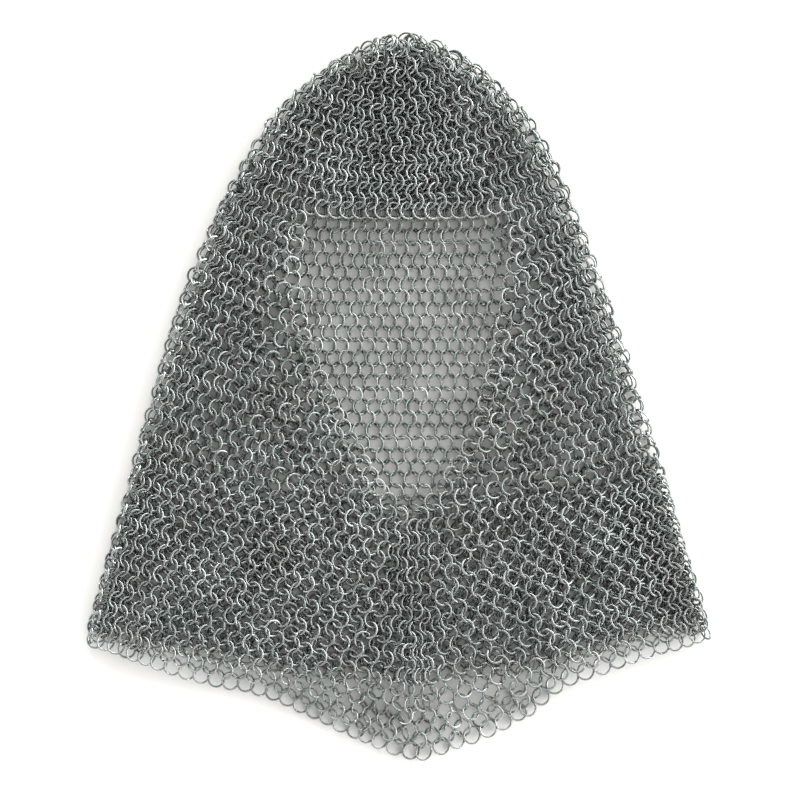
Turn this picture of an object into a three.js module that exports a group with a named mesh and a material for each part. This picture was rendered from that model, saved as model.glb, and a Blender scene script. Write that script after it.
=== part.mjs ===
import * as THREE from 'three';

// Steel mesh hood laid flat with its face opening up, in millimetres.
// +Y runs from the hem to the crown and +Z is up. The back layer lies on z = 0 and the front on the back.

// Mail: butted rings, each through four others, so one layer is a leaning ring's height thick.
const wire = 1.6;
const ringInside = 10;
const ringOutside = ringInside + 2 * wire;
const ringLean = THREE.MathUtils.degToRad(18);
const layer = (ringInside + wire) * Math.sin(ringLean) + wire;
const edgeLayer = 3.4; // the closing rows lie flatter
const seamGap = 0.3;

// Heights of the two layers and of the turn between them.
const frontFloor = layer + seamGap;
const foldHeight = frontFloor + layer;
const foldWidth = ringOutside;
const foldArcSteps = 4;

// The closing rows of rings at every free edge.
const edgeWidth = 9;
const edgeDip = 2; // from the rings' outer side in to where two rings meet
const edgePitch = 9.1;
const browPitch = 7.6;
const facePitch = 8.2;
const ringSteps = 3; // points along the edge for each ring

// Where the front runs past the back's hem it comes down to the surface over one or two rings.
const dropStart = 6;
const dropRun = 16;

// Under the chin the columns crowd together and the rings stand steeper.
const throatRidge = { height: 2.6, halfWidth: 17, top: -82, bottom: -215, fade: 30 };

// Side and crown turn, from the left hem corner over the crown to the right hem corner.
const outlineTable = [
  { x: -222.5, y: -173.0 },
  { x: -211.5, y: -118.0 },
  { x: -195.5, y: -75.2 },
  { x: -175.8, y: 0.7 },
  { x: -156.7, y: 65.2 },
  { x: -131.2, y: 130.5 },
  { x: -104.2, y: 180.0 },
  { x: -84.5, y: 208.0 },
  { x: -58.8, y: 233.0 },
  { x: -29.8, y: 250.3 },
  { x: -6.4, y: 258.3 },
  { x: 9.2, y: 258.8 },
  { x: 31.2, y: 254.2 },
  { x: 58.1, y: 239.2 },
  { x: 85.1, y: 214.1 },
  { x: 107.5, y: 184.1 },
  { x: 136.1, y: 114.2 },
  { x: 159.5, y: 47.9 },
  { x: 184.0, y: -35.5 },
  { x: 202.8, y: -75.7 },
  { x: 216.5, y: -120.0 },
  { x: 222.5, y: -158.0 },
  { x: 221.5, y: -169.0 },
];

// Front hem, a shallow V, from the left corner to the right.
const frontHemTable = [
  { x: -222.0, y: -173.0 },
  { x: -203.5, y: -178.0 },
  { x: -171.6, y: -190.7 },
  { x: -136.1, y: -202.8 },
  { x: -97.8, y: -208.4 },
  { x: -64.5, y: -223.3 },
  { x: -31.9, y: -239.6 },
  { x: -2.8, y: -252.4 },
  { x: 14.2, y: -258.8 },
  { x: 44.0, y: -248.2 },
  { x: 74.4, y: -235.4 },
  { x: 97.8, y: -220.5 },
  { x: 117.7, y: -203.5 },
  { x: 143.2, y: -195.7 },
  { x: 175.8, y: -182.9 },
  { x: 201.4, y: -176.5 },
  { x: 221.5, y: -169.0 },
];

// Back hem, straighter, which shows through the front as a shadow.
const backHemTable = [
  { x: -222.0, y: -170.0 },
  { x: -173.7, y: -178.0 },
  { x: -146.8, y: -182.2 },
  { x: -108.5, y: -186.5 },
  { x: -83.0, y: -193.6 },
  { x: -39.7, y: -198.5 },
  { x: -10.6, y: -197.5 },
  { x: 6.4, y: -203.0 },
  { x: 28.4, y: -199.2 },
  { x: 78.0, y: -195.7 },
  { x: 121.2, y: -186.5 },
  { x: 158.8, y: -173.7 },
  { x: 173.7, y: -168.5 },
  { x: 221.5, y: -164.5 },
];

// Free edge of the face opening, each side from the brow down to the point under the chin.
const browLine = { left: -63, right: 79, y: 128.3 };
const crownTop = { x: 1.4 }; // where the left and the right of the outline meet
const chinPoint = { x: 9.2, y: -78.7 };
const faceLeftTable = [
  { x: browLine.left, y: browLine.y + edgeWidth },
  { x: -67.0, y: 107.1 },
  { x: -66.2, y: 72.0 },
  { x: -59.6, y: 43.3 },
  { x: -44.7, y: 6.4 },
  { x: -27.7, y: -27.7 },
  { x: -6.5, y: -63.0 },
  chinPoint,
];
const faceRightTable = [
  { x: browLine.right, y: browLine.y + edgeWidth },
  { x: 78.3, y: 110.0 },
  { x: 74.0, y: 83.0 },
  { x: 66.6, y: 39.7 },
  { x: 57.4, y: 2.8 },
  { x: 48.2, y: -27.7 },
  { x: 29.8, y: -58.1 },
  chinPoint,
];

// Rows where the panels are closed to each other: the heights where they meet the side turns,
// and the points between.
const throatGap = 13.6; // from the opening's point down to the row under it
const seamRows = {
  crownFront: { left: 207, between: [{ x: -35, y: 194 }, { x: 1, y: 189 }, { x: 36, y: 196 }], right: 211 },
  brow: { left: 155, right: 145 },
  throat: { left: -38, right: -48 },
  crownBack: { left: 176, between: [{ x: -45, y: 161 }, { x: 0, y: 158 }, { x: 45, y: 160 }], right: 174 },
  nape: { left: -36, between: [{ x: -80, y: -58 }, { x: 0, y: -61 }, { x: 80, y: -62 }], right: -44 },
};

// How finely each piece is divided across and down, and the turns along their length.
const divisions = {
  crown_front: { across: 24, down: 5 },
  brow_front: { across: 20, down: 5 },
  cheek: { across: 5, down: 16 },
  mantle_front: { across: 10, down: 18 },
  crown_back: { across: 16, down: 3 },
  neck_back: { across: 16, down: 16 },
  mantle_back: { across: 16, down: 10 },
};
const sideFoldSteps = 38;
const crownFoldSteps = 20;

const steelColour = new THREE.Color(0.47, 0.51, 0.5);
const halfGap = seamGap / 2;
const panelInset = foldWidth + seamGap; // panels start a seam's gap inside the side turns
const edgeInset = edgeWidth + seamGap;
const hood = new THREE.Group();

function curveThrough(table) {
  const points = table.map(({ x, y }) => new THREE.Vector3(x, y, 0));
  const curve = new THREE.CatmullRomCurve3(points, false, 'centripetal');
  curve.arcLengthDivisions = 1200;
  return curve;
}

function straight(a, b) {
  return (s) => new THREE.Vector2(THREE.MathUtils.lerp(a.x, b.x, s), THREE.MathUtils.lerp(a.y, b.y, s));
}

function pointAt(a) {
  return straight(a, a);
}

// The point at share s of a curve's length, moved off it to the right of the way it runs.
function beside(curve, s, distance) {
  const at = curve.getPointAt(s);
  const along = curve.getTangentAt(s);
  return new THREE.Vector2(at.x + along.y * distance, at.y - along.x * distance);
}

// The same between two shares of a curve, as a line that runs from 0 to 1.
function stretch(curve, from, to, distance) {
  return (s) => beside(curve, THREE.MathUtils.lerp(from, to, s), distance);
}

// Part of a curve raised straight up.
function raised(curve, from, to, rise) {
  return (s) => {
    const at = curve.getPointAt(THREE.MathUtils.lerp(from, to, s));
    return new THREE.Vector2(at.x, at.y + rise);
  };
}

// Where a test of the share of a curve's length turns true on the way from one share to another.
function shareWhere(holds, from, to) {
  const halvings = 40;
  let [no, yes] = [from, to];
  for (let step = 0; step < halvings; step++) {
    const middle = (no + yes) / 2;
    if (holds(middle)) yes = middle;
    else no = middle;
  }
  return yes;
}

const outline = curveThrough(outlineTable);
const frontHem = curveThrough(frontHemTable);
const backHem = curveThrough(backHemTable);
const crownShare = shareWhere((share) => outline.getPointAt(share).x > crownTop.x, 0, 1);

// Where the inside of a side turn is at height y.
function sideShare(y, side) {
  return shareWhere((share) => beside(outline, share, panelInset).y > y, side === 'left' ? 0 : 1, crownShare);
}

function sidePoint(y, side) {
  return beside(outline, sideShare(y, side), panelInset);
}

// The inside of the turns between two heights, over the crown from left to right.
function archOver({ left, right }) {
  return stretch(outline, sideShare(left, 'left'), sideShare(right, 'right'), panelInset);
}

// The inside of a side turn between two heights, downwards.
function sideLine(upper, lower, side) {
  return stretch(outline, sideShare(upper, side), sideShare(lower, side), panelInset);
}

// A row from one side turn to the other, moved up by a distance.
function rowLine({ left, between, right }, rise) {
  const curve = curveThrough([sidePoint(left, 'left'), ...between, sidePoint(right, 'right')]);
  return raised(curve, 0, 1, rise);
}

// A line as the straight pieces between equal shares of it, so that two neighbours bend at the same places.
function inSteps(line, steps) {
  return (s) => {
    const at = Math.min(Math.floor(s * steps), steps - 1);
    return straight(line(at / steps), line((at + 1) / steps))(s * steps - at);
  };
}

// A line shifted so that it starts and ends at two given points.
function fitted(line, from, to) {
  const startShift = from.clone().sub(line(0));
  const endShift = to.clone().sub(line(1));
  return (t) => line(t).addScaledVector(startShift, 1 - t).addScaledVector(endShift, t);
}

// Points over four lines: top and bottom run left to right, the sides run down and are fitted to the corners.
function gridOver(top, bottom, leftShape, rightShape, { across, down }) {
  const left = fitted(leftShape, top(0), bottom(0));
  const right = fitted(rightShape, top(1), bottom(1));
  const rows = [];
  for (let j = 0; j <= down; j++) {
    const t = j / down;
    const row = [];
    for (let i = 0; i <= across; i++) {
      const s = i / across;
      const point = top(s).multiplyScalar(1 - t).addScaledVector(bottom(s), t);
      point.addScaledVector(left(t), 1 - s).addScaledVector(right(t), s);
      point.addScaledVector(top(0), -(1 - s) * (1 - t)).addScaledVector(top(1), -s * (1 - t));
      point.addScaledVector(bottom(0), -(1 - s) * t).addScaledVector(bottom(1), -s * t);
      row.push(point);
    }
    rows.push(row);
  }
  return rows;
}

// Welds equal corners, drops triangles with no area and turns the faces outwards.
function closedGeometry(corners, triangles) {
  const roundTo = 1e4;
  const numbers = new Map();
  const positions = [];
  const welded = corners.map(([x, y, z]) => {
    const key = [x, y, z].map((value) => Math.round(value * roundTo)).join();
    if (!numbers.has(key)) {
      numbers.set(key, numbers.size);
      positions.push(x, y, z);
    }
    return numbers.get(key);
  });
  const kept = triangles
    .map((triangle) => triangle.map((corner) => welded[corner]))
    .filter(([a, b, c]) => a !== b && b !== c && c !== a);
  const place = (n) => new THREE.Vector3().fromArray(positions, 3 * n);
  let volume = 0;
  for (const [a, b, c] of kept) volume += place(a).dot(place(b).cross(place(c)));
  const geometry = new THREE.BufferGeometry();
  geometry.setAttribute('position', new THREE.Float32BufferAttribute(positions, 3));
  geometry.setIndex(kept.flatMap(([a, b, c]) => (volume > 0 ? [a, b, c] : [a, c, b])));
  geometry.computeVertexNormals();
  return geometry;
}

function addPiece(name, geometry) {
  const material = new THREE.MeshStandardMaterial({ color: steelColour, roughness: 0.42, metalness: 0.9 });
  const piece = new THREE.Mesh(geometry, material);
  piece.name = name;
  hood.add(piece);
}

// A wall over rows of plan points, with the height of its underside and its thickness at each point.
function wallOver(rows, under, thick) {
  const down = rows.length;
  const across = rows[0].length;
  const corners = [];
  const triangles = [];
  for (const upper of [0, 1]) {
    rows.forEach((row, j) => {
      for (const p of row) corners.push([p.x, p.y, under(p) + upper * thick(p, j)]);
    });
  }
  const low = (j, i) => j * across + i;
  const high = (j, i) => (down + j) * across + i;
  const quad = (a, b, c, d) => triangles.push([a, b, c], [a, c, d]);
  for (let j = 0; j + 1 < down; j++) {
    for (let i = 0; i + 1 < across; i++) {
      quad(high(j, i), high(j + 1, i), high(j + 1, i + 1), high(j, i + 1));
      quad(low(j, i), low(j, i + 1), low(j + 1, i + 1), low(j + 1, i));
    }
  }
  const rim = [];
  for (let j = 0; j + 1 < down; j++) rim.push([j, 0]);
  for (let i = 0; i + 1 < across; i++) rim.push([down - 1, i]);
  for (let j = down - 1; j > 0; j--) rim.push([j, across - 1]);
  for (let i = across - 1; i > 0; i--) rim.push([0, i]);
  rim.forEach(([j, i], n) => {
    const [nextJ, nextI] = rim[(n + 1) % rim.length];
    quad(low(j, i), low(nextJ, nextI), high(nextJ, nextI), high(j, i));
  });
  return closedGeometry(corners, triangles);
}

function backHemAt(x) {
  const next = backHemTable.findIndex((row) => row.x >= x);
  const after = THREE.MathUtils.clamp(next, 1, backHemTable.length - 1);
  const [a, b] = [backHemTable[after - 1], backHemTable[after]];
  return THREE.MathUtils.mapLinear(x, a.x, b.x, a.y, b.y);
}

// Underside of the front layer: on the back layer, and down on the surface past the back's hem.
function frontUnder({ x, y }) {
  const past = backHemAt(x) - y;
  return frontFloor * (1 - THREE.MathUtils.smoothstep(past, dropStart, dropStart + dropRun));
}

function backUnder() {
  return 0;
}

const hemPoint = frontHemTable.reduce((lowest, row) => (row.y < lowest.y ? row : lowest));
const throatTop = { x: chinPoint.x, y: chinPoint.y - throatGap };
const throatLine = straight(throatTop, hemPoint);

function frontThick({ x, y }) {
  const { height, halfWidth, top, bottom, fade } = throatRidge;
  const share = (y - throatTop.y) / (hemPoint.y - throatTop.y);
  const off = (x - throatLine(share).x) / halfWidth;
  const fadeIn = 1 - THREE.MathUtils.smoothstep(y, top - fade, top);
  const fadeOut = THREE.MathUtils.smoothstep(y, bottom, bottom + fade);
  return layer + height * Math.exp(-off * off) * fadeIn * fadeOut;
}

function backThick() {
  return layer;
}

function ringRowThick(p, row) {
  return row === 0 ? edgeLayer : layer;
}

function addFrontPanel(name, top, bottom, left, right, divided) {
  addPiece(name, wallOver(gridOver(top, bottom, left, right, divided), frontUnder, frontThick));
}

function addBackPanel(name, top, bottom, left, right) {
  addPiece(name, wallOver(gridOver(top, bottom, left, right, divisions[name]), backUnder, backThick));
}

function lengthOf(line) {
  const samples = 40;
  let length = 0;
  for (let k = 0; k < samples; k++) length += line(k / samples).distanceTo(line((k + 1) / samples));
  return length;
}

// A row of rings along a free edge: its outer side is scalloped by the rings and lies lower than the panel.
function addRingRow(name, outer, inner, pitch, under) {
  const rings = Math.round(lengthOf((s) => outer(s, 0)) / pitch);
  const count = rings * ringSteps;
  const rows = [[], []];
  for (let k = 0; k <= count; k++) {
    rows[0].push(outer(k / count, k % ringSteps === 0 ? edgeDip : 0));
    rows[1].push(inner(k / count));
  }
  addPiece(name, wallOver(rows, under, ringRowThick));
}

function reversed(line) {
  return (s) => line(1 - s);
}

const browEnds = {
  left: new THREE.Vector2(browLine.left - edgeInset, browLine.y + edgeWidth),
  right: new THREE.Vector2(browLine.right + edgeInset, browLine.y + edgeWidth),
};

// Section of the turn from front to back: a rounded strip of both layers, parted by a slit on its inner side.
function foldSection() {
  const radius = foldHeight / 2;
  const section = [];
  for (let k = 0; k <= foldArcSteps; k++) {
    const angle = (Math.PI * k) / foldArcSteps;
    section.push({ depth: radius * (1 - Math.sin(angle)), z: radius * (1 - Math.cos(angle)) });
  }
  section.push({ depth: foldWidth, z: foldHeight }, { depth: foldWidth, z: frontFloor });
  section.push({ depth: radius, z: frontFloor }, { depth: radius, z: layer });
  section.push({ depth: foldWidth, z: layer }, { depth: foldWidth, z: 0 });
  return section;
}

function addFold(name, from, to, steps) {
  const section = foldSection();
  const around = section.length;
  const corners = [];
  const triangles = [];
  for (let k = 0; k <= steps; k++) {
    const share = THREE.MathUtils.lerp(from, to, k / steps);
    for (const { depth, z } of section) {
      const p = beside(outline, share, depth);
      corners.push([p.x, p.y, z]);
    }
  }
  for (let k = 0; k < steps; k++) {
    for (let n = 0; n < around; n++) {
      const [a, b] = [k * around + n, k * around + ((n + 1) % around)];
      triangles.push([a, b, b + around], [a, b + around, a + around]);
    }
  }
  const flat = section.map(({ depth, z }) => new THREE.Vector2(depth, z));
  for (const [a, b, c] of THREE.ShapeUtils.triangulateShape(flat, [])) {
    triangles.push([a, b, c]);
    triangles.push([a + steps * around, c + steps * around, b + steps * around]);
  }
  addPiece(name, closedGeometry(corners, triangles));
}

function addFolds() {
  const { left, right } = seamRows.crownFront;
  const [leftFoot, rightFoot] = [sideShare(left, 'left'), sideShare(right, 'right')];
  const gapShare = seamGap / outline.getLength();
  addFold('side_fold_left', 0, leftFoot, sideFoldSteps);
  addFold('crown_fold', leftFoot + gapShare, rightFoot - gapShare, crownFoldSteps);
  addFold('side_fold_right', rightFoot, 1, sideFoldSteps);
}

// The far side of the row of rings beside the opening, mitred where the two sides meet under the chin.
function faceBackLine(curve, side, width) {
  const out = side === 'left' ? 1 : -1;
  const lastShare = 0.86;
  const steps = 8;
  const points = [];
  for (let k = 0; k <= steps; k++) points.push(beside(curve, (lastShare * k) / steps, out * width));
  const mitre = Math.SQRT2;
  points.push({ x: chinPoint.x - out * halfGap, y: chinPoint.y - width * mitre });
  return raised(curveThrough(points), 0, 1, 0);
}

function addFaceSide(side, table) {
  const out = side === 'left' ? 1 : -1;
  const points = table.map(({ x, y }) => ({ x, y }));
  points[points.length - 1].x -= out * halfGap;
  const curve = curveThrough(points);
  const outer = (s, dip) => beside(curve, s, out * dip);
  const inner = inSteps(faceBackLine(curve, side, edgeWidth), divisions.cheek.down);
  addRingRow(`face_edge_${side}`, outer, inner, facePitch, frontUnder);

  const { brow, throat } = seamRows;
  const browEnd = browEnds[side];
  const turn = sidePoint(brow[side], side);
  const turnFoot = sidePoint(throat[side], side);
  const middle = new THREE.Vector2(throatTop.x - out * halfGap, throatTop.y + seamGap);
  const upper = straight(turn, browEnd);
  const lower = straight(turnFoot.setY(turnFoot.y + seamGap), middle);
  const edge = faceBackLine(curve, side, edgeInset);
  const fold = sideLine(brow[side], throat[side], side);
  const name = `cheek_${side}`;
  if (side === 'left') addFrontPanel(name, upper, lower, fold, edge, divisions.cheek);
  else addFrontPanel(name, reversed(upper), reversed(lower), edge, fold, divisions.cheek);
}

// The foot of the brow panel: down from each side turn, and level along the row of rings over the opening.
function browFootLine() {
  const { left, right } = seamRows.brow;
  const corners = [sidePoint(left, 'left'), browEnds.left, browEnds.right, sidePoint(right, 'right')];
  const path = new THREE.CurvePath();
  for (let n = 0; n + 1 < corners.length; n++) {
    path.add(new THREE.LineCurve(corners[n].clone(), corners[n + 1].clone()));
  }
  return (s) => path.getPointAt(s).add(new THREE.Vector2(0, seamGap));
}

function addFrontOfHead() {
  const { crownFront, brow } = seamRows;
  const arch = archOver(crownFront);
  const foot = rowLine(crownFront, 0);
  addFrontPanel('crown_front', arch, foot, pointAt(arch(0)), pointAt(arch(1)), divisions.crown_front);

  const leftSide = sideLine(crownFront.left, brow.left, 'left');
  const rightSide = sideLine(crownFront.right, brow.right, 'right');
  const head = rowLine(crownFront, -seamGap);
  addFrontPanel('brow_front', head, browFootLine(), leftSide, rightSide, divisions.brow_front);

  const [left, right] = [browLine.left + seamGap, browLine.right - seamGap];
  const outer = (s, dip) => new THREE.Vector2(THREE.MathUtils.lerp(left, right, s), browLine.y + dip);
  addRingRow('brow_edge', outer, (s) => outer(s, edgeWidth), browPitch, frontUnder);
  addFaceSide('left', faceLeftTable);
  addFaceSide('right', faceRightTable);
}

// Where a hem's row of rings starts and ends, beside the side turns from its foot to its head.
const cornerHeights = { left: outlineTable[0].y + edgeInset, right: outlineTable.at(-1).y + edgeInset };
const hemEnds = {
  left: Math.max(beside(outline, 0, panelInset).x, sidePoint(cornerHeights.left, 'left').x),
  right: Math.min(beside(outline, 1, panelInset).x, sidePoint(cornerHeights.right, 'right').x),
};

function hemShare(hem, x) {
  return shareWhere((share) => hem.getPointAt(share).x > x, 0, 1);
}

function addFrontMantle(side) {
  const out = side === 'left' ? 1 : -1;
  const joinX = hemPoint.x - out * halfGap;
  const [turnShare, joinShare] = [hemShare(frontHem, hemEnds[side]), hemShare(frontHem, joinX)];
  const [from, to] = side === 'left' ? [turnShare, joinShare] : [joinShare, turnShare];
  const outer = (s, dip) => raised(frontHem, from, to, dip)(s);
  const inner = inSteps(raised(frontHem, from, to, edgeWidth), divisions.mantle_front.across);
  addRingRow(`hem_front_${side}`, outer, inner, edgePitch, frontUnder);

  const { throat } = seamRows;
  const turn = sidePoint(throat[side], side);
  const middle = new THREE.Vector2(throatTop.x - out * halfGap, throatTop.y);
  const head = straight(turn, middle);
  const foot = raised(frontHem, from, to, edgeInset);
  const fold = sideLine(throat[side], cornerHeights[side], side);
  const join = straight(middle, foot(side === 'left' ? 1 : 0));
  const name = `mantle_front_${side}`;
  if (side === 'left') addFrontPanel(name, head, foot, fold, join, divisions.mantle_front);
  else addFrontPanel(name, reversed(head), foot, join, fold, divisions.mantle_front);
}

function addBack() {
  const { crownBack, nape } = seamRows;
  const arch = archOver(crownBack);
  const foot = rowLine(crownBack, 0);
  addBackPanel('crown_back', arch, foot, pointAt(arch(0)), pointAt(arch(1)));

  const [leftSide, rightSide] = ['left', 'right'].map((side) => sideLine(crownBack[side], nape[side], side));
  addBackPanel('neck_back', rowLine(crownBack, -seamGap), rowLine(nape, 0), leftSide, rightSide);

  const [from, to] = [hemShare(backHem, hemEnds.left), hemShare(backHem, hemEnds.right)];
  const leftFoot = sideLine(nape.left, cornerHeights.left, 'left');
  const rightFoot = sideLine(nape.right, cornerHeights.right, 'right');
  const hem = raised(backHem, from, to, edgeInset);
  addBackPanel('mantle_back', rowLine(nape, -seamGap), hem, leftFoot, rightFoot);
  const outer = (s, dip) => raised(backHem, from, to, dip)(s);
  const inner = inSteps(raised(backHem, from, to, edgeWidth), divisions.mantle_back.across);
  addRingRow('hem_back', outer, inner, edgePitch, backUnder);
}

hood.name = 'steel_mesh_hood';
addFolds();
addFrontOfHead();
addFrontMantle('left');
addFrontMantle('right');
addBack();

// The reference point is the middle of the hood on the surface that it lies on.
const middle = new THREE.Box3().setFromObject(hood).getCenter(new THREE.Vector3());
hood.position.set(-middle.x, -middle.y, 0);

export default hood;
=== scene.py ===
import math
import bpy
import numpy as np
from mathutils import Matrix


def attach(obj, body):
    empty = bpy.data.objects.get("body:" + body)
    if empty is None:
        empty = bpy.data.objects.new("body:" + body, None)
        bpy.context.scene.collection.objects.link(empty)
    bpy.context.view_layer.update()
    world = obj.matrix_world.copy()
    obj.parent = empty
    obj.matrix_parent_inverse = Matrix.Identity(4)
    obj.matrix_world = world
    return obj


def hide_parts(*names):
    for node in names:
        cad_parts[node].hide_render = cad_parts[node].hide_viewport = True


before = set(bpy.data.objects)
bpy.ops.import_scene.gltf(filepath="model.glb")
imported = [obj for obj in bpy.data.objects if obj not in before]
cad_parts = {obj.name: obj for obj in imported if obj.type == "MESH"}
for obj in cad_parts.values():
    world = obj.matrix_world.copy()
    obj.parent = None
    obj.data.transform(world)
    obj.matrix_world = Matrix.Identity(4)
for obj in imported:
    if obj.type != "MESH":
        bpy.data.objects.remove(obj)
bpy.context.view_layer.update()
mm = 0.001

# The camera looks straight down on the laid hood. Lengths in mm.
view = {
    "centre": (2.1, 0.7),
    "height": 2400.0,
    "width": 567.2,  # what the picture spans at the level below
    "level": 8.0,
    "sensor": 36.0,
    "farthest": 20.0,  # m
}
camData = bpy.data.cameras.new("topCamera")
camData.sensor_width = view["sensor"]
camData.lens = view["sensor"] * (view["height"] - view["level"]) / view["width"]
camData.clip_end = view["farthest"]
cam = bpy.data.objects.new("topCamera", camData)
cam.location = (view["centre"][0] * mm, view["centre"][1] * mm, view["height"] * mm)
bpy.context.scene.collection.objects.link(cam)
bpy.context.scene.camera = cam
print("camera set")

# The hood's lines on the table, in mm, read off its picture.
outline = {
    "left": [(1.4, 258.8), (-6.4, 258.3), (-29.8, 250.3), (-58.8, 233), (-84.5, 208), (-104.2, 180),
             (-131.2, 130.5), (-156.7, 65.2), (-175.8, 0.7), (-195.5, -75.2), (-211.5, -118),
             (-222.5, -173)],
    "right": [(1.4, 258.8), (9.2, 258.8), (31.2, 254.2), (58.1, 239.2), (85.1, 214.1), (107.5, 184.1),
              (136.1, 114.2), (159.5, 47.9), (184, -35.5), (202.8, -75.7), (216.5, -120), (222.5, -158),
              (221.5, -169)],
    "frontHem": [(-222, -173), (-203.5, -178), (-171.6, -190.7), (-136.1, -202.8), (-97.8, -208.4),
                 (-64.5, -223.3), (-31.9, -239.6), (-2.8, -252.4), (14.2, -258.8), (44, -248.2),
                 (74.4, -235.4), (97.8, -220.5), (117.7, -203.5), (143.2, -195.7), (175.8, -182.9),
                 (201.4, -176.5), (221.5, -169)],
    "backHem": [(-222, -170), (-173.7, -178), (-146.8, -182.2), (-108.5, -186.5), (-83, -193.6),
                (-39.7, -198.5), (-10.6, -197.5), (6.4, -203), (28.4, -199.2), (78, -195.7),
                (121.2, -186.5), (158.8, -173.7), (173.7, -168.5), (221.5, -164.5)],
}

# Rings of one size in rows across, each meant to hang in two of the row above and two of the row below.
# A table of pairs gives a value at some rows, from row 1 at the crown to the hem. Lengths in mm.
mail = {
    "wire": 1.6,
    "inside": 10.2,
    "rows": 60,
    "leftTurn": [(0, 0), (18, 157), (41.5, 360), (60, 503)],  # length down the side turn
    "rightTurn": [(0, 0), (18, 163), (41.5, 371), (60, 501)],
    "middleX": [(0, 1.4), (18, 5), (41, 9.2), (60, 14.2)],
    "frontMiddle": [(0, 255), (1, 249), (18, 134.9), (24, 62), (30, 4), (36, -40), (41.5, -85), (60, -252)],
    "backMiddle": [(0, 255), (1, 249), (18, 134), (41.5, -69), (60, -196.4)],
    "frontColumns": [(1, 6), (3, 10), (5, 14), (7, 18), (10, 23), (14, 29), (18, 33), (24, 36), (30, 37),
                     (41, 38), (50, 41), (60, 46)],
    "backColumns": [(1, 6), (3, 10), (5, 13), (7, 17), (10, 21), (14, 26), (18, 30), (24, 33), (30, 36),
                    (41, 39), (50, 42), (60, 45)],
    "newColumn": 0.62,  # a new column's width against a full one
    "growRows": 7.0,  # rows until it is a full one
    "firstColumn": 0.37,  # where along the row the first new column opens
    "crowdedShare": 0.3,  # with more new columns than this, they may open side by side
    "chinRow": 41.5,  # below this the rows turn by equal steps to the hem
    # slope of a row from its middle to the turn, at some rows
    "frontSlopes": [(1, [0.3, 0.8, 1.0, 1.1, 1.2, 1.3]), (12, [0.1, 0.5, 0.9, 1.4, 1.7, 1.7]),
                    (18, [0.02, 0.04, 0.1, 1.2, 2.4, 2.4]), (30, [0.1, 0.5, 0.9, 1.4, 1.6, 1.6]),
                    (41, [0.1, 0.8, 0.9, 0.9, 1.1, 2.4]), (52, [0.3, 0.9, 0.9, 0.9, 1.1, 2.0])],
    "backSlopes": [(1, [0.3, 0.8, 1.0, 1.1, 1.2, 1.3]), (18, [0.02, 0.04, 0.1, 1.2, 2.0, 2.2]),
                   (41, [0.02, 0.04, 0.1, 1.2, 2.0, 2.6]), (52, [0.1, 0.3, 0.6, 1.2, 1.6, 2.0])],
    "turnInset": 3.2,  # the rings on the turn stand on edge, so their middles are near the outline
    "turnStep": 6.0,  # how far to each side the turn's direction is taken
    "rowStep": 3.0,  # the same along a row
    # how much closer columns stand, and over which widths, shares of the half row and rows
    "turnCrowd": 0.9,
    "turnWidth": 14.0,
    "sideCrowd": 0.3,
    "sideShares": (0.7, 0.95),
    "chinCrowd": 0.9,
    "chinWidth": 14.0,
    "chinRows": (38, 43),
    "chinEndRows": (54, 60),
    "templeCrowd": 0.25,
    "templeShares": (0.45, 0.8),
    "templeRows": (12, 20),
    "templeEndRows": (22, 40),
    "rightPull": 0.12,  # the right of the mantle is pulled wider
    "rightPullRows": (36, 46),
    # how far rings stray from their places
    "jitter": 0.15,
    "chinJitter": 0.9,
    "chinJitterWidth": 22.0,
    "seed": 11,
}
wireRadius = mail["wire"] / 2
ringRadius = mail["inside"] / 2 + wireRadius
outerRadius = ringRadius + wireRadius
hemRow = mail["rows"]
rowPoints = 159  # odd, so that one point is on the middle
goldenShare = 0.618034  # steps of it spread the new columns evenly
rng = np.random.default_rng(mail["seed"])


def along(table, at):
    return float(np.interp(at, [entry[0] for entry in table], [entry[1] for entry in table]))


def smooth(value, low, high):
    t = np.clip((value - low) / (high - low), 0, 1)
    return t * t * (3 - 2 * t)


def rounded(points, times=2):  # corner cutting that keeps both ends
    points = np.array(points, float)
    for _ in range(times):
        a, b = points[:-1], points[1:]
        cut = np.empty((2 * len(a), 2))
        cut[0::2] = 0.75 * a + 0.25 * b
        cut[1::2] = 0.25 * a + 0.75 * b
        points = np.vstack([points[:1], cut, points[-1:]])
    return points


def lengths(points):
    return np.concatenate([[0], np.cumsum(np.hypot(*np.diff(points, axis=0).T))])


def pointsAt(run, line, at):
    return np.column_stack([np.interp(at, run, line[:, axis]) for axis in (0, 1)])


def resample(points, count):
    run = lengths(points)
    return pointsAt(run, points, np.linspace(0, run[-1], count))


turnLines = {side: rounded(outline[side]) for side in ("left", "right")}
turnLengths = {side: lengths(line) for side, line in turnLines.items()}


def turnPoint(side, row):  # where the ring on the side turn has its middle
    line, run = turnLines[side], turnLengths[side]
    arc = along(mail[side + "Turn"], row)
    step = mail["turnStep"]
    behind, at, ahead = pointsAt(run, line, np.clip([arc - step, arc, arc + step], 0, run[-1]))
    way = (ahead - behind) / np.hypot(*(ahead - behind))
    inward = np.array([-way[1], way[0]]) * (1 if side == "left" else -1)
    return at + inward * mail["turnInset"]


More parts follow.
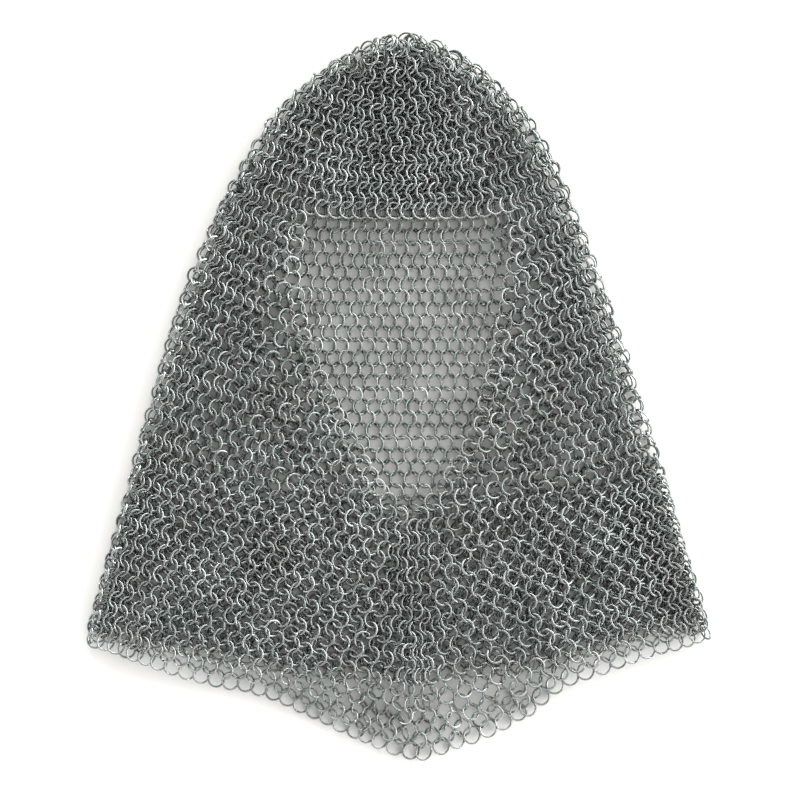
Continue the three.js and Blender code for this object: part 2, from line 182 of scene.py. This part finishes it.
def arcCurve(layer, row):  # a row that keeps its own slopes from the middle out
    middle = (along(mail["middleX"], row), along(mail[layer + "Middle"], row))
    table = mail[layer + "Slopes"]
    marks = len(table[0][1])
    slopes = [np.interp(row, [entry[0] for entry in table], [entry[1][n] for entry in table])
              for n in range(marks)]
    shares = np.linspace(0, 1, (rowPoints + 1) // 2)
    slopes = np.interp(shares, np.linspace(0, 1, marks), slopes)
    fall = np.concatenate([[0], np.cumsum((slopes[1:] + slopes[:-1]) / 2)])
    fall /= fall[-1]
    halves = []
    for side in ("left", "right"):
        end = turnPoint(side, row)
        halves.append(np.column_stack([middle[0] + (end[0] - middle[0]) * shares,
                                       middle[1] + (end[1] - middle[1]) * fall]))
    return np.vstack([halves[0][::-1], halves[1][1:]])


def hemCurve(layer):  # the closing rings touch the hem's line from inside
    hem = rounded(outline[layer + "Hem"], 1)
    x = np.linspace(turnPoint("left", hemRow)[0], turnPoint("right", hemRow)[0], rowPoints)
    return resample(np.column_stack([x, np.interp(x, hem[:, 0], hem[:, 1]) + outerRadius]), rowPoints)


chinCurves = {layer: resample(arcCurve(layer, mail["chinRow"]), rowPoints) for layer in ("front", "back")}
hemCurves = {layer: hemCurve(layer) for layer in ("front", "back")}


def rowCurve(layer, row):  # by its own slopes down to the chin, then by equal steps to the hem
    past = (row - mail["chinRow"]) / (hemRow - mail["chinRow"])
    if past <= 0:
        return arcCurve(layer, row)
    return resample(chinCurves[layer] * (1 - past) + hemCurves[layer] * past, rowPoints)


def crowding(layer, row, curve):  # columns to the mm along a row, before they are scaled
    run = lengths(curve)
    fromEnd = np.minimum(run, run[-1] - run)
    tight = 1 + mail["turnCrowd"] * (1 - smooth(fromEnd, 0, mail["turnWidth"]))
    if layer == "back":
        return tight
    middle = along(mail["middleX"], row)
    off = np.abs(curve[:, 0] - middle)
    reach = np.where(curve[:, 0] < middle, middle - curve[0, 0], curve[-1, 0] - middle)
    share = off / np.maximum(reach, 1)
    tight += mail["sideCrowd"] * smooth(share, *mail["sideShares"])
    chinRise, chinEnd = smooth(row, *mail["chinRows"]), smooth(row, *mail["chinEndRows"])
    tight += mail["chinCrowd"] * np.exp(-(off / mail["chinWidth"]) ** 2) * chinRise * (1 - chinEnd)
    pull = mail["rightPull"] * smooth(row, *mail["rightPullRows"])
    tight *= np.where(curve[:, 0] > middle, 1 - pull, 1)
    templeRise, templeEnd = smooth(row, *mail["templeRows"]), smooth(row, *mail["templeEndRows"])
    temples = smooth(share, *mail["templeShares"]) * templeRise * (1 - templeEnd)
    return tight + mail["templeCrowd"] * temples


def columnWidths(layer):  # for each row; a new column opens at an odd row between two others
    born = [-hemRow] * int(mail[layer + "Columns"][0][1])  # the first columns are full ones from the start
    widths = {}
    mark = mail["firstColumn"]
    for row in range(1, hemRow + 1):
        if row % 2 == 1 and row > 1:
            wanted = int(round(along(mail[layer + "Columns"], row)))
            extra = min(max(wanted - len(born), 0), len(born) - 1)
            crowded = extra >= len(born) * mail["crowdedShare"]
            places = set()
            while len(places) < extra:
                mark = (mark + goldenShare) % 1
                place = 1 + int(mark * (len(born) - 1))
                if crowded or not places & {place - 1, place, place + 1}:
                    places.add(place)
            for place in sorted(places, reverse=True):
                born.insert(place, row)
        age = (row - np.array(born)) / mail["growRows"]
        widths[row] = np.minimum(1, mail["newColumn"] + (1 - mail["newColumn"]) * age)
    return widths


def placesOnRow(layer, row, widths):  # odd rows have a ring in each column, even rows between columns
    curve = rowCurve(layer, row)
    run = lengths(curve)
    weight = crowding(layer, row, curve)
    filled = np.concatenate([[0], np.cumsum((weight[1:] + weight[:-1]) / 2 * np.diff(run))])
    edges = np.concatenate([[0], np.cumsum(widths)])
    edges /= edges[-1]
    marks = edges if row % 2 == 0 else (edges[1:] + edges[:-1]) / 2
    at = np.interp(marks * filled[-1], filled, run)
    way = pointsAt(run, curve, at + mail["rowStep"]) - pointsAt(run, curve, at - mail["rowStep"])
    return pointsAt(run, curve, at), way / np.hypot(way[:, 0], way[:, 1])[:, None]


rings = []
for layer in ("front", "back"):
    widths = columnWidths(layer)
    for row in range(1, hemRow + 1):
        places, ways = placesOnRow(layer, row, widths[row])
        for n, (place, way) in enumerate(zip(places, ways)):
            atEnd = row % 2 == 0 and n in (0, len(places) - 1)
            if atEnd and layer == "back":
                continue  # one ring on the turn serves both layers
            rings.append({"place": place, "way": way, "row": row, "edge": "",
                          "layer": "turn" if atEnd else layer})
print("net of", len(rings), "rings before the opening")

# The face opening. Rings in it go, and the last ones beside it move up to its edge. Lengths in mm.
opening = {
    "left": [(-63, 128.3), (-67, 107.1), (-66.2, 72), (-59.6, 43.3), (-44.7, 6.4), (-27.7, -27.7),
             (-6.5, -63), (9.2, -82.0)],
    "right": [(79, 128.3), (78.3, 110), (74, 83), (66.6, 39.7), (57.4, 2.8), (48.2, -27.7), (29.8, -58.1),
              (9.2, -82.0)],
    "brow": 128.3,
    "browRow": 18,
    "clear": 0.62,  # of a ring's radius; rings with their middle this near outside the line go too
    "mostMove": 5.0,  # for a ring that moves up to the line
    "moves": (1, 0.66, 0.33),  # shares for the last three rings beside the edge
}
openingLines = {side: rounded(opening[side])[::-1] for side in ("left", "right")}


def openingEdge(side, y):
    line = openingLines[side]
    return float(np.interp(y, line[:, 1], line[:, 0]))


def cutOpening(rings):
    kept = [ring for ring in rings if ring["layer"] != "front"]
    clear = outerRadius * opening["clear"]
    top = opening["brow"] + clear
    bottom = opening["left"][-1][1]
    for row in range(1, hemRow + 1):
        members = [ring for ring in rings if ring["layer"] == "front" and ring["row"] == row]
        beside = {"left": [], "right": []}
        for ring in members:
            x, y = ring["place"]
            left, right = openingEdge("left", y), openingEdge("right", y)
            if bottom < y < top and left - clear < x < right + clear:
                continue
            beside["left" if x < (left + right) / 2 else "right"].append(ring)
        isCut = len(beside["left"]) + len(beside["right"]) < len(members)
        for side, group in beside.items():
            kept += group
            if not isCut or not group:
                continue
            inward = 1 if side == "left" else -1
            group.sort(key=lambda ring: -inward * ring["place"][0])
            x, y = group[0]["place"]
            move = openingEdge(side, y) - inward * outerRadius - x
            move = float(np.clip(move, -opening["mostMove"], opening["mostMove"]))
            group[0]["edge"] = "face_edge_" + side
            for ring, share in zip(group, opening["moves"]):
                ring["place"] = ring["place"] + np.array([move * share, 0])
    return kept


rings = cutOpening(rings)
count = len(rings)
print("rings after the opening is cut:", count)

# How the two layers lie: leans in degrees, heights in mm.
lie = {
    "lean": 22.0,
    "leanSpread": 1.5,
    "rowsApart": 4.0,  # on the back and the front's left, even rows lie flatter and odd rows steeper
    "apartEnds": (-20, 60),  # where on the front that dies away
    "turnLean": -68.0,  # on edge where the net goes round the turn
    "bend": 26.0,  # how far odd rows beside a turn follow its curve
    "bendWidth": (2, 11),
    "hemLean": 11.0,
    "browLean": 14.0,
    "tilt": 1.0,
    "dropPastHem": (4, 20),  # the front comes down onto the table past the back's hem
    "gather": 0.55,  # how far the layers close on each other at the turns
    "gatherWidth": 16.0,
}
plan = np.array([ring["place"] for ring in rings])
ways = np.array([ring["way"] for ring in rings])
rowOf = np.array([ring["row"] for ring in rings])
layerOf = np.array([ring["layer"] for ring in rings])
isEven = rowOf % 2 == 0
onTurn, onFront = layerOf == "turn", layerOf == "front"
offMiddle = plan[:, 0] - np.interp(rowOf, *np.array(mail["middleX"]).T)
underChin = onFront * (rowOf > mail["chinRow"]) * np.exp(-(offMiddle / mail["chinJitterWidth"]) ** 2)
stray = mail["jitter"] + mail["chinJitter"] * underChin
plan = plan + rng.normal(0, 1, (count, 2)) * stray[:, None]

turnAll = np.vstack([turnLines["left"][::-1], turnLines["right"]])
fromTurn = np.hypot(plan[:, None, 0] - turnAll[:, 0], plan[:, None, 1] - turnAll[:, 1]).min(axis=1)
nearTurn = 1 - smooth(fromTurn, mail["turnInset"], lie["gatherWidth"])
backHem = np.array(outline["backHem"])
pastHem = np.interp(plan[:, 0], backHem[:, 0], backHem[:, 1]) - plan[:, 1]

apart = np.where(onFront, 1 - smooth(plan[:, 0], *lie["apartEnds"]), 1)
lean = lie["lean"] + np.where(isEven, -1, 1) * lie["rowsApart"] * apart
bendSide = np.where(onFront == (plan[:, 0] < 0), 1, -1)
lean += np.where(isEven, 0, bendSide) * lie["bend"] * (1 - smooth(fromTurn, *lie["bendWidth"]))
lean = np.where(rowOf == hemRow, lie["hemLean"], lean)
onBrow = onFront & (rowOf == opening["browRow"]) & (plan[:, 0] > openingEdge("left", opening["brow"]))
onBrow &= plan[:, 0] < openingEdge("right", opening["brow"])
lean = np.where(onBrow, lie["browLean"], lean)
lean = np.where(onTurn, lie["turnLean"], lean)
lean = np.radians(lean + rng.normal(0, lie["leanSpread"], count))

halfLayer = wireRadius + ringRadius * math.sin(math.radians(lie["lean"]))
frontHeight = halfLayer + 2 * halfLayer * (1 - smooth(pastHem, *lie["dropPastHem"]))
height = np.where(onTurn, 2 * halfLayer, np.where(onFront, frontHeight, halfLayer))
height += np.where(onTurn, 0, (2 * halfLayer - height) * lie["gather"] * nearTurn)

rowWay = np.column_stack([ways, np.zeros(count)])
columnWay = np.column_stack([-ways[:, 1], ways[:, 0], np.zeros(count)])
upward = np.array([0, 0, 1.0])
normals = np.cos(lean)[:, None] * upward + (np.where(isEven, 1, -1) * np.sin(lean))[:, None] * rowWay
normals += rng.normal(0, math.radians(lie["tilt"]), count)[:, None] * columnWay
normals /= np.linalg.norm(normals, axis=1)[:, None]
centres = np.column_stack([plan, height])

# Settling: stiff rings are pushed off each other and come down on the table. Lengths in mm.
settle = {
    "steps": 110,
    "freeSteps": 20,  # the last steps only push, with nothing held
    "lookEvery": 10,  # steps between two searches for contacts
    "samples": 18,  # points looked at on each ring
    "block": 20000,  # pairs looked at in one go
    "reach": 13.8,  # how far apart two centres may be to be looked at
    "watch": 1.0,  # how far apart two wires may be to be followed
    "clear": 0.05,  # the gap that is pushed for
    "push": 0.42,  # share of what is missing that a step moves each of the two rings
    "turn": 1.2,  # how much of a push off the middle turns the ring
    "mostMove": 0.4,
    "mostTurn": 0.07,  # radians
    "hold": 0.03,  # pull of a ring's first place and lean on it
    "holdUp": 0.4,  # share of that pull upward and downward
    "holdTurn": 0.015,
    "sink": 0.03,  # how far a step lets a ring come down
    "pressing": 0.2,  # reported when two wires overlap by more
}


def ringBasis(normals):  # two directions in each ring's plane
    helper = np.where(np.abs(normals[:, :1]) < 0.9, np.array([[1.0, 0, 0]]), np.array([[0, 1.0, 0]]))
    first = np.cross(normals, helper)
    first /= np.linalg.norm(first, axis=1)[:, None]
    return first, np.cross(normals, first)


def ringPairs(points, reach, block=500):  # every two rings that are near in plan, both ways round
    found = []
    for start in range(0, len(points), block):
        gap = points[start:start + block, None, :2] - points[None, :, :2]
        near = np.argwhere((gap ** 2).sum(axis=2) < reach * reach)
        near[:, 0] += start
        found.append(near[near[:, 0] != near[:, 1]])
    return np.vstack(found).T


def rimGap(a, b, angles, centres, normals, basis):  # from points on ring a to the line of ring b
    arm = ringRadius * (np.cos(angles)[..., None] * basis[0][a][:, None]
                        + np.sin(angles)[..., None] * basis[1][a][:, None])
    q = (centres[a] - centres[b])[:, None] + arm
    nb = normals[b][:, None]
    flat = q - (q * nb).sum(axis=2, keepdims=True) * nb
    reach = np.linalg.norm(flat, axis=2, keepdims=True)
    away = q - flat * (ringRadius / np.maximum(reach, 1e-6))
    return arm, away, np.linalg.norm(away, axis=2)


def findContacts(pairs, centres, normals):  # places where one ring comes nearest to another's wire
    a, b = pairs
    marks = np.linspace(0, 2 * math.pi, settle["samples"], endpoint=False)
    basis = ringBasis(normals)
    found = []
    for start in range(0, len(a), settle["block"]):
        part = slice(start, start + settle["block"])
        turns = np.broadcast_to(marks, (len(a[part]), len(marks)))
        _, _, gap = rimGap(a[part], b[part], turns, centres, normals, basis)
        least = (gap <= np.roll(gap, 1, axis=1)) & (gap < np.roll(gap, -1, axis=1))
        near = np.argwhere(least & (gap < mail["wire"] + settle["watch"]))
        found.append(np.column_stack([near[:, 0] + start, near[:, 1]]))
    found = np.vstack(found)
    return a[found[:, 0]], b[found[:, 0]], marks[found[:, 1]]


def nearestOn(a, b, angle, centres, normals, basis, span):  # one parabola step to the closest point
    tries = angle[:, None] + np.array([-span, 0, span])
    _, _, gap = rimGap(a, b, tries, centres, normals, basis)
    low, mid, high = (gap ** 2).T
    bend = np.maximum(low - 2 * mid + high, 1e-6)
    angle = angle + np.clip(0.5 * (low - high) / bend, -1, 1) * span
    arm, away, gap = rimGap(a, b, angle[:, None], centres, normals, basis)
    return angle, arm[:, 0], away[:, 0], gap[:, 0]


def gathered(index, vectors):  # the sum for each ring
    return np.column_stack([np.bincount(index, vectors[:, axis], count) for axis in range(3)])


def limited(vectors, most):  # none longer than most
    size = np.linalg.norm(vectors, axis=1, keepdims=True)
    return vectors * np.minimum(1, most / np.maximum(size, 1e-9))


def settleRings(centres, normals):
    home, homeNormals = centres.copy(), normals.copy()
    pairs = ringPairs(centres, settle["reach"])
    wanted = mail["wire"] + settle["clear"]
    span = math.pi / settle["samples"]
    holdWays = np.array([1, 1, settle["holdUp"]])
    for step in range(settle["steps"]):
        if step % settle["lookEvery"] == 0:
            a, b, angle = findContacts(pairs, centres, normals)
        basis = ringBasis(normals)
        angle, arm, away, gap = nearestOn(a, b, angle, centres, normals, basis, span)
        depth = np.clip(wanted - gap, 0, None)
        force = away * (depth * settle["push"] / np.maximum(gap, 0.05))[:, None]
        move = gathered(a, force)
        spin = gathered(a, np.cross(arm, force)) * settle["turn"] / ringRadius ** 2
        held = step < settle["steps"] - settle["freeSteps"]
        if held:
            move += settle["hold"] * (home - centres) * holdWays
            move[:, 2] -= settle["sink"]
            spin += settle["holdTurn"] * np.cross(normals, homeNormals)
        centres = centres + limited(move, settle["mostMove"])
        normals = normals + np.cross(limited(spin, settle["mostTurn"]), normals)
        normals /= np.linalg.norm(normals, axis=1)[:, None]
        lowest = centres[:, 2] - ringRadius * np.sqrt(np.clip(1 - normals[:, 2] ** 2, 0, 1)) - wireRadius
        centres[:, 2] += np.clip(-lowest, 0, None)
    pressed = int((depth > settle["clear"] + settle["pressing"]).sum() / 2)
    print("settled:", pressed, "contacts of", len(a) // 2, "still press over", settle["pressing"], "mm")
    return centres, normals


centres, normals = settleRings(centres, normals)

# Each ring goes to the piece that stands for its part of the net. These are the pieces' last rows.
lastRow = {"crownFront": 10, "crownFold": 11, "crownBack": 14, "neckBack": 40, "cheek": 41}


def regionOf(ring, x):
    row, layer = ring["row"], ring["layer"]
    middle = along(mail["middleX"], row)
    side = "left" if x < middle else "right"
    if layer == "turn":
        return "crown_fold" if row <= lastRow["crownFold"] else "side_fold_" + side
    if row == hemRow:
        return "hem_back" if layer == "back" else "hem_front_" + side
    if layer == "back":
        return ("crown_back" if row <= lastRow["crownBack"] else
                "neck_back" if row <= lastRow["neckBack"] else "mantle_back")
    if ring["edge"]:
        return ring["edge"]
    if row <= lastRow["crownFront"]:
        return "crown_front"
    if row <= opening["browRow"]:
        return "brow_front"
    return ("cheek_" if row <= lastRow["cheek"] else "mantle_front_") + side


regions = np.array([regionOf(ring, x) for ring, x in zip(rings, plan[:, 0])])
regions[onBrow] = "brow_edge"

ringShape = {
    "around": 22,  # steps round the ring
    "section": 5,  # and round the wire
    "butt": 0.22,  # gap where the wire's two ends meet, in mm
}


def ringTemplate():  # one butted ring about Z, with the wire's length and girth as its UV
    around, section = ringShape["around"], ringShape["section"]
    half = ringShape["butt"] / ringRadius / 2
    turns = np.linspace(half, 2 * math.pi - half, around + 1)[:, None]
    sides = (np.arange(section) * 2 * math.pi / section)[None, :]
    reach = ringRadius + wireRadius * np.cos(sides)
    points = np.stack([reach * np.cos(turns), reach * np.sin(turns),
                       np.broadcast_to(wireRadius * np.sin(sides), (around + 1, section))], axis=-1)
    i, j = np.meshgrid(np.arange(around), np.arange(section), indexing="ij")
    k = (j + 1) % section
    quads = np.stack([i * section + j, (i + 1) * section + j, (i + 1) * section + k, i * section + k], -1)
    uvs = np.stack([np.stack([i, j], -1), np.stack([i + 1, j], -1),
                    np.stack([i + 1, j + 1], -1), np.stack([i, j + 1], -1)], axis=-2)
    uvs = uvs / np.array([around, section])
    caps = np.stack([np.arange(section), around * section + np.arange(section)[::-1]])
    return points.reshape(-1, 3), quads.reshape(-1, 4), uvs.reshape(-1, 4, 2), caps


def ringPiece(name, chosen, frames, tones):
    template, quads, uvs, caps = ringTemplate()
    axisA, axisB, axisC = (axes[chosen][:, None] for axes in frames)
    verts = (centres[chosen][:, None] + template[:, :1] * axisA + template[:, 1:2] * axisB
             + template[:, 2:] * axisC) * mm
    shift = (np.arange(len(chosen)) * len(template))[:, None, None]
    sides = (quads + shift).reshape(-1, 4)
    ends = (caps + shift).reshape(-1, caps.shape[1])
    sizes = np.concatenate([np.full(len(sides), 4), np.full(len(ends), caps.shape[1])])
    mesh = bpy.data.meshes.new(name)
    mesh.vertices.add(verts.shape[0] * verts.shape[1])
    mesh.vertices.foreach_set("co", verts.ravel())
    mesh.loops.add(sides.size + ends.size)
    mesh.loops.foreach_set("vertex_index", np.concatenate([sides.ravel(), ends.ravel()]).astype(np.int32))
    mesh.polygons.add(len(sizes))
    mesh.polygons.foreach_set("loop_start", np.concatenate([[0], np.cumsum(sizes)[:-1]]).astype(np.int32))
    mesh.polygons.foreach_set("loop_total", sizes.astype(np.int32))
    mesh.update(calc_edges=True)
    mesh.polygons.foreach_set("use_smooth", sizes == 4)
    layer = mesh.uv_layers.new(name="wireUv")
    flatUvs = np.concatenate([np.tile(uvs.ravel(), len(chosen)), np.zeros(ends.size * 2)])
    layer.data.foreach_set("uv", flatUvs.astype(np.float32))
    tone = mesh.attributes.new("ringTone", "FLOAT", "POINT")
    tone.data.foreach_set("value", np.repeat(tones[chosen], len(template)).astype(np.float32))
    mesh.validate()
    piece = bpy.data.objects.new(name, mesh)
    bpy.context.scene.collection.objects.link(piece)
    return piece


first, second = ringBasis(normals)
buttAt = rng.uniform(0, 2 * math.pi, count)[:, None]
buttWay = np.cos(buttAt) * first + np.sin(buttAt) * second
ringFrames = (buttWay, np.cross(normals, buttWay), normals)
ringTones = rng.uniform(0, 1, count)
pieces = {}
for region in sorted(set(regions)):
    chosen = np.flatnonzero(regions == region)
    piece = ringPiece(region + "_rings", chosen, ringFrames, ringTones)
    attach(piece, "root")
    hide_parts(region)
    pieces[region] = piece
    print(piece.name, len(chosen), "rings")


def put(tree, kind, values=None, **settings):  # a node with its settings, values and links
    node = tree.nodes.new(kind)
    for key, value in settings.items():
        setattr(node, key, value)
    for key, value in (values or {}).items():
        if isinstance(value, bpy.types.NodeSocket):
            tree.links.new(value, node.inputs[key])
        else:
            node.inputs[key].default_value = value
    return node


def newGroup(name, inputs, outputs):
    tree = bpy.data.node_groups.new(name, "ShaderNodeTree")
    for label, value in inputs.items():
        socket = tree.interface.new_socket(name=label, in_out="INPUT", socket_type="NodeSocketFloat")
        socket.default_value = value
    for label in outputs:
        tree.interface.new_socket(name=label, in_out="OUTPUT", socket_type="NodeSocketFloat")
    return tree, tree.nodes.new("NodeGroupInput").outputs, tree.nodes.new("NodeGroupOutput").inputs


# Cloudy patches over a surface, such as dulling on steel or unevenness in paper.
cloudSpan = (0.32, 0.68)  # the part of the noise that is spread from Low to High
mottle, given, out = newGroup("softMottle", {"Scale": 40.0, "Low": 0.0, "High": 1.0}, ["Value"])
place = put(mottle, "ShaderNodeTexCoord").outputs["Object"]
cloud = put(mottle, "ShaderNodeTexNoise", {"Vector": place, "Scale": given["Scale"], "Detail": 3.0})
spread = put(mottle, "ShaderNodeMapRange", {"Value": cloud.outputs["Fac"],
                                            "From Min": cloudSpan[0], "From Max": cloudSpan[1],
                                            "To Min": given["Low"], "To Max": given["High"]})
mottle.links.new(spread.outputs["Result"], out["Value"])

# Fine lines along the wire from drawing it, with a nick here and there.
markLook = {
    "shift": 37.0,  # keeps the lines of two rings apart
    "nickScale": 900.0,
    "nickSpan": (0.66, 0.74),
}
marks, given, out = newGroup("wireMarks", {"Along": 5.0, "Around": 14.0, "Nicks": 1.0}, ["Height", "Line"])
uv = put(marks, "ShaderNodeUVMap", uv_map="wireUv").outputs["UV"]
stretch = put(marks, "ShaderNodeCombineXYZ", {"X": given["Along"], "Y": given["Around"]})
scaled = put(marks, "ShaderNodeVectorMath", {0: uv, 1: stretch.outputs["Vector"]}, operation="MULTIPLY")
tone = put(marks, "ShaderNodeAttribute", attribute_name="ringTone").outputs["Fac"]
shiftBy = put(marks, "ShaderNodeMath", {0: tone, 1: markLook["shift"]}, operation="MULTIPLY")
shifted = put(marks, "ShaderNodeVectorMath", {0: scaled.outputs["Vector"], 1: shiftBy.outputs[0]},
              operation="ADD")
lines = put(marks, "ShaderNodeTexNoise", {"Vector": shifted.outputs["Vector"], "Scale": 1.0, "Detail": 2.0})
spots = put(marks, "ShaderNodeTexNoise", {"Vector": put(marks, "ShaderNodeTexCoord").outputs["Object"],
                                          "Scale": markLook["nickScale"], "Detail": 1.0})
nick = put(marks, "ShaderNodeMapRange", {"Value": spots.outputs["Fac"],
                                         "From Min": markLook["nickSpan"][0],
                                         "From Max": markLook["nickSpan"][1],
                                         "To Min": 0.0, "To Max": 1.0})
nick = put(marks, "ShaderNodeMath", {0: nick.outputs["Result"], 1: given["Nicks"]}, operation="MULTIPLY")
height = put(marks, "ShaderNodeMath", {0: lines.outputs["Fac"], 1: nick.outputs[0]}, operation="SUBTRACT")
marks.links.new(height.outputs[0], out["Height"])
marks.links.new(lines.outputs["Fac"], out["Line"])

# The net's rings are dulled; the closing rows round the edges are rubbed a little brighter.
# The dull span is where lines and patches together go from the smoothest finish to the roughest.
steelLooks = {
    "dulledSteel": {"dark": (0.19, 0.214, 0.209, 1), "light": (0.34, 0.362, 0.354, 1),
                    "grime": (0.12, 0.128, 0.118, 1), "grimeMost": 0.5, "patchScale": 28.0,
                    "smoothest": 0.18, "roughest": 0.27, "dullSpan": (0.3, 1.0), "depth": 0.000002},
    "rubbedSteel": {"dark": (0.21, 0.23, 0.225, 1), "light": (0.35, 0.372, 0.364, 1),
                    "grime": (0.15, 0.15, 0.135, 1), "grimeMost": 0.35, "patchScale": 28.0,
                    "smoothest": 0.17, "roughest": 0.25, "dullSpan": (0.3, 1.0), "depth": 0.000002},
}
rubbedRegions = ("brow_edge", "face_edge_left", "face_edge_right", "hem_front_left", "hem_front_right",
                 "hem_back")


def steelMaterial(name, look):
    material = bpy.data.materials.new(name)
    material.use_nodes = True
    tree = material.node_tree
    shader = tree.nodes["Principled BSDF"]
    tone = put(tree, "ShaderNodeAttribute", attribute_name="ringTone").outputs["Fac"]
    base = put(tree, "ShaderNodeMix", {"Factor": tone, "A": look["dark"], "B": look["light"]},
               data_type="RGBA")
    patches = put(tree, "ShaderNodeGroup", {}, node_tree=mottle)
    patches.inputs["Scale"].default_value = look["patchScale"]
    patches.inputs["Low"].default_value = 0.0
    patches.inputs["High"].default_value = look["grimeMost"]
    coloured = put(tree, "ShaderNodeMix", {"Factor": patches.outputs["Value"],
                                           "A": base.outputs["Result"], "B": look["grime"]},
                   data_type="RGBA")
    wear = put(tree, "ShaderNodeGroup", {}, node_tree=marks)
    dulling = put(tree, "ShaderNodeMath", {0: wear.outputs["Line"], 1: patches.outputs["Value"]},
                  operation="ADD")
    rough = put(tree, "ShaderNodeMapRange", {"Value": dulling.outputs[0],
                                             "From Min": look["dullSpan"][0],
                                             "From Max": look["dullSpan"][1],
                                             "To Min": look["smoothest"], "To Max": look["roughest"]})
    bump = put(tree, "ShaderNodeBump", {"Strength": 1.0, "Distance": look["depth"],
                                        "Height": wear.outputs["Height"]})
    tree.links.new(coloured.outputs["Result"], shader.inputs["Base Color"])
    tree.links.new(rough.outputs["Result"], shader.inputs["Roughness"])
    tree.links.new(bump.outputs["Normal"], shader.inputs["Normal"])
    shader.inputs["Metallic"].default_value = 1.0
    return material


steels = {name: steelMaterial(name, look) for name, look in steelLooks.items()}
for region, piece in pieces.items():
    piece.data.materials.append(steels["rubbedSteel" if region in rubbedRegions else "dulledSteel"])
print("steel on", len(pieces), "pieces")

# A sheet of white paper under the hood. Lengths in m.
paperLook = {
    "half": 3.0,
    "level": -0.0002,
    "low": (0.79, 0.78, 0.755, 1),
    "high": (0.82, 0.81, 0.785, 1),
    "patchScale": 9.0,
    "roughness": 0.9,
    "fibreScale": 1500.0,
    "fibreDepth": 0.00003,
}
half = paperLook["half"]
floorMesh = bpy.data.meshes.new("floor")
corners = [(-half, -half, 0), (half, -half, 0), (half, half, 0), (-half, half, 0)]
floorMesh.from_pydata(corners, [], [(0, 1, 2, 3)])
floor = bpy.data.objects.new("floor", floorMesh)
floor.location.z = paperLook["level"]
bpy.context.scene.collection.objects.link(floor)
paper = bpy.data.materials.new("whitePaper")
paper.use_nodes = True
tree = paper.node_tree
shader = tree.nodes["Principled BSDF"]
patches = put(tree, "ShaderNodeGroup", {}, node_tree=mottle)
patches.inputs["Scale"].default_value = paperLook["patchScale"]
shade = put(tree, "ShaderNodeMix", {"Factor": patches.outputs["Value"], "A": paperLook["low"],
                                    "B": paperLook["high"]}, data_type="RGBA")
fibres = put(tree, "ShaderNodeTexNoise", {"Vector": put(tree, "ShaderNodeTexCoord").outputs["Object"],
                                          "Scale": paperLook["fibreScale"], "Detail": 2.0})
bump = put(tree, "ShaderNodeBump", {"Strength": 1.0, "Distance": paperLook["fibreDepth"],
                                    "Height": fibres.outputs["Fac"]})
tree.links.new(shade.outputs["Result"], shader.inputs["Base Color"])
tree.links.new(bump.outputs["Normal"], shader.inputs["Normal"])
shader.inputs["Roughness"].default_value = paperLook["roughness"]
floorMesh.materials.append(paper)
print("paper laid")

# Light comes from a soft band all round, low over the table and strongest from the upper right.
dome = {
    "rise": (0.0, 0.12),  # sine of the height where the band begins
    "fall": (0.22, 0.52),  # and where it ends
    "overhead": 0.05,  # what is left of it above
    "azimuth": 42,  # degrees, where it is strongest
    "turn": (-0.1, 0.95),  # cosine of the angle from there, from the far side's light to the full one
    "farSide": 0.34,
    "strength": 19.0,
}
smallest = 0.0001  # straight up there is no side
world = bpy.data.worlds.new("softStudio")
world.use_nodes = True
tree = world.node_tree
way = put(tree, "ShaderNodeSeparateXYZ", {0: put(tree, "ShaderNodeTexCoord").outputs["Generated"]}).outputs


def worldMath(operation, a, b):
    return put(tree, "ShaderNodeMath", {0: a, 1: b}, operation=operation).outputs[0]


def worldRange(value, span, low, high):
    return put(tree, "ShaderNodeMapRange", {"Value": value, "From Min": span[0], "From Max": span[1],
                                            "To Min": low, "To Max": high},
               interpolation_type="SMOOTHSTEP").outputs["Result"]


azimuth = math.radians(dome["azimuth"])
band = worldMath("MULTIPLY", worldRange(way["Z"], dome["rise"], 0.0, 1.0),
                 worldRange(way["Z"], dome["fall"], 1.0, dome["overhead"]))
facing = worldMath("ADD", worldMath("MULTIPLY", way["X"], math.cos(azimuth)),
                   worldMath("MULTIPLY", way["Y"], math.sin(azimuth)))
flatPart = worldMath("SUBTRACT", 1.0, worldMath("MULTIPLY", way["Z"], way["Z"]))
flatPart = worldMath("POWER", worldMath("MAXIMUM", flatPart, smallest), 0.5)
sideways = worldRange(worldMath("DIVIDE", facing, flatPart), dome["turn"], dome["farSide"], 1.0)
glow = worldMath("MULTIPLY", worldMath("MULTIPLY", band, sideways), dome["strength"])
tree.links.new(glow, tree.nodes["Background"].inputs["Strength"])
tree.nodes["Background"].inputs["Color"].default_value = (1, 1, 1, 1)
bpy.context.scene.world = world
bpy.context.scene.view_settings.view_transform = "Standard"
print("light set")
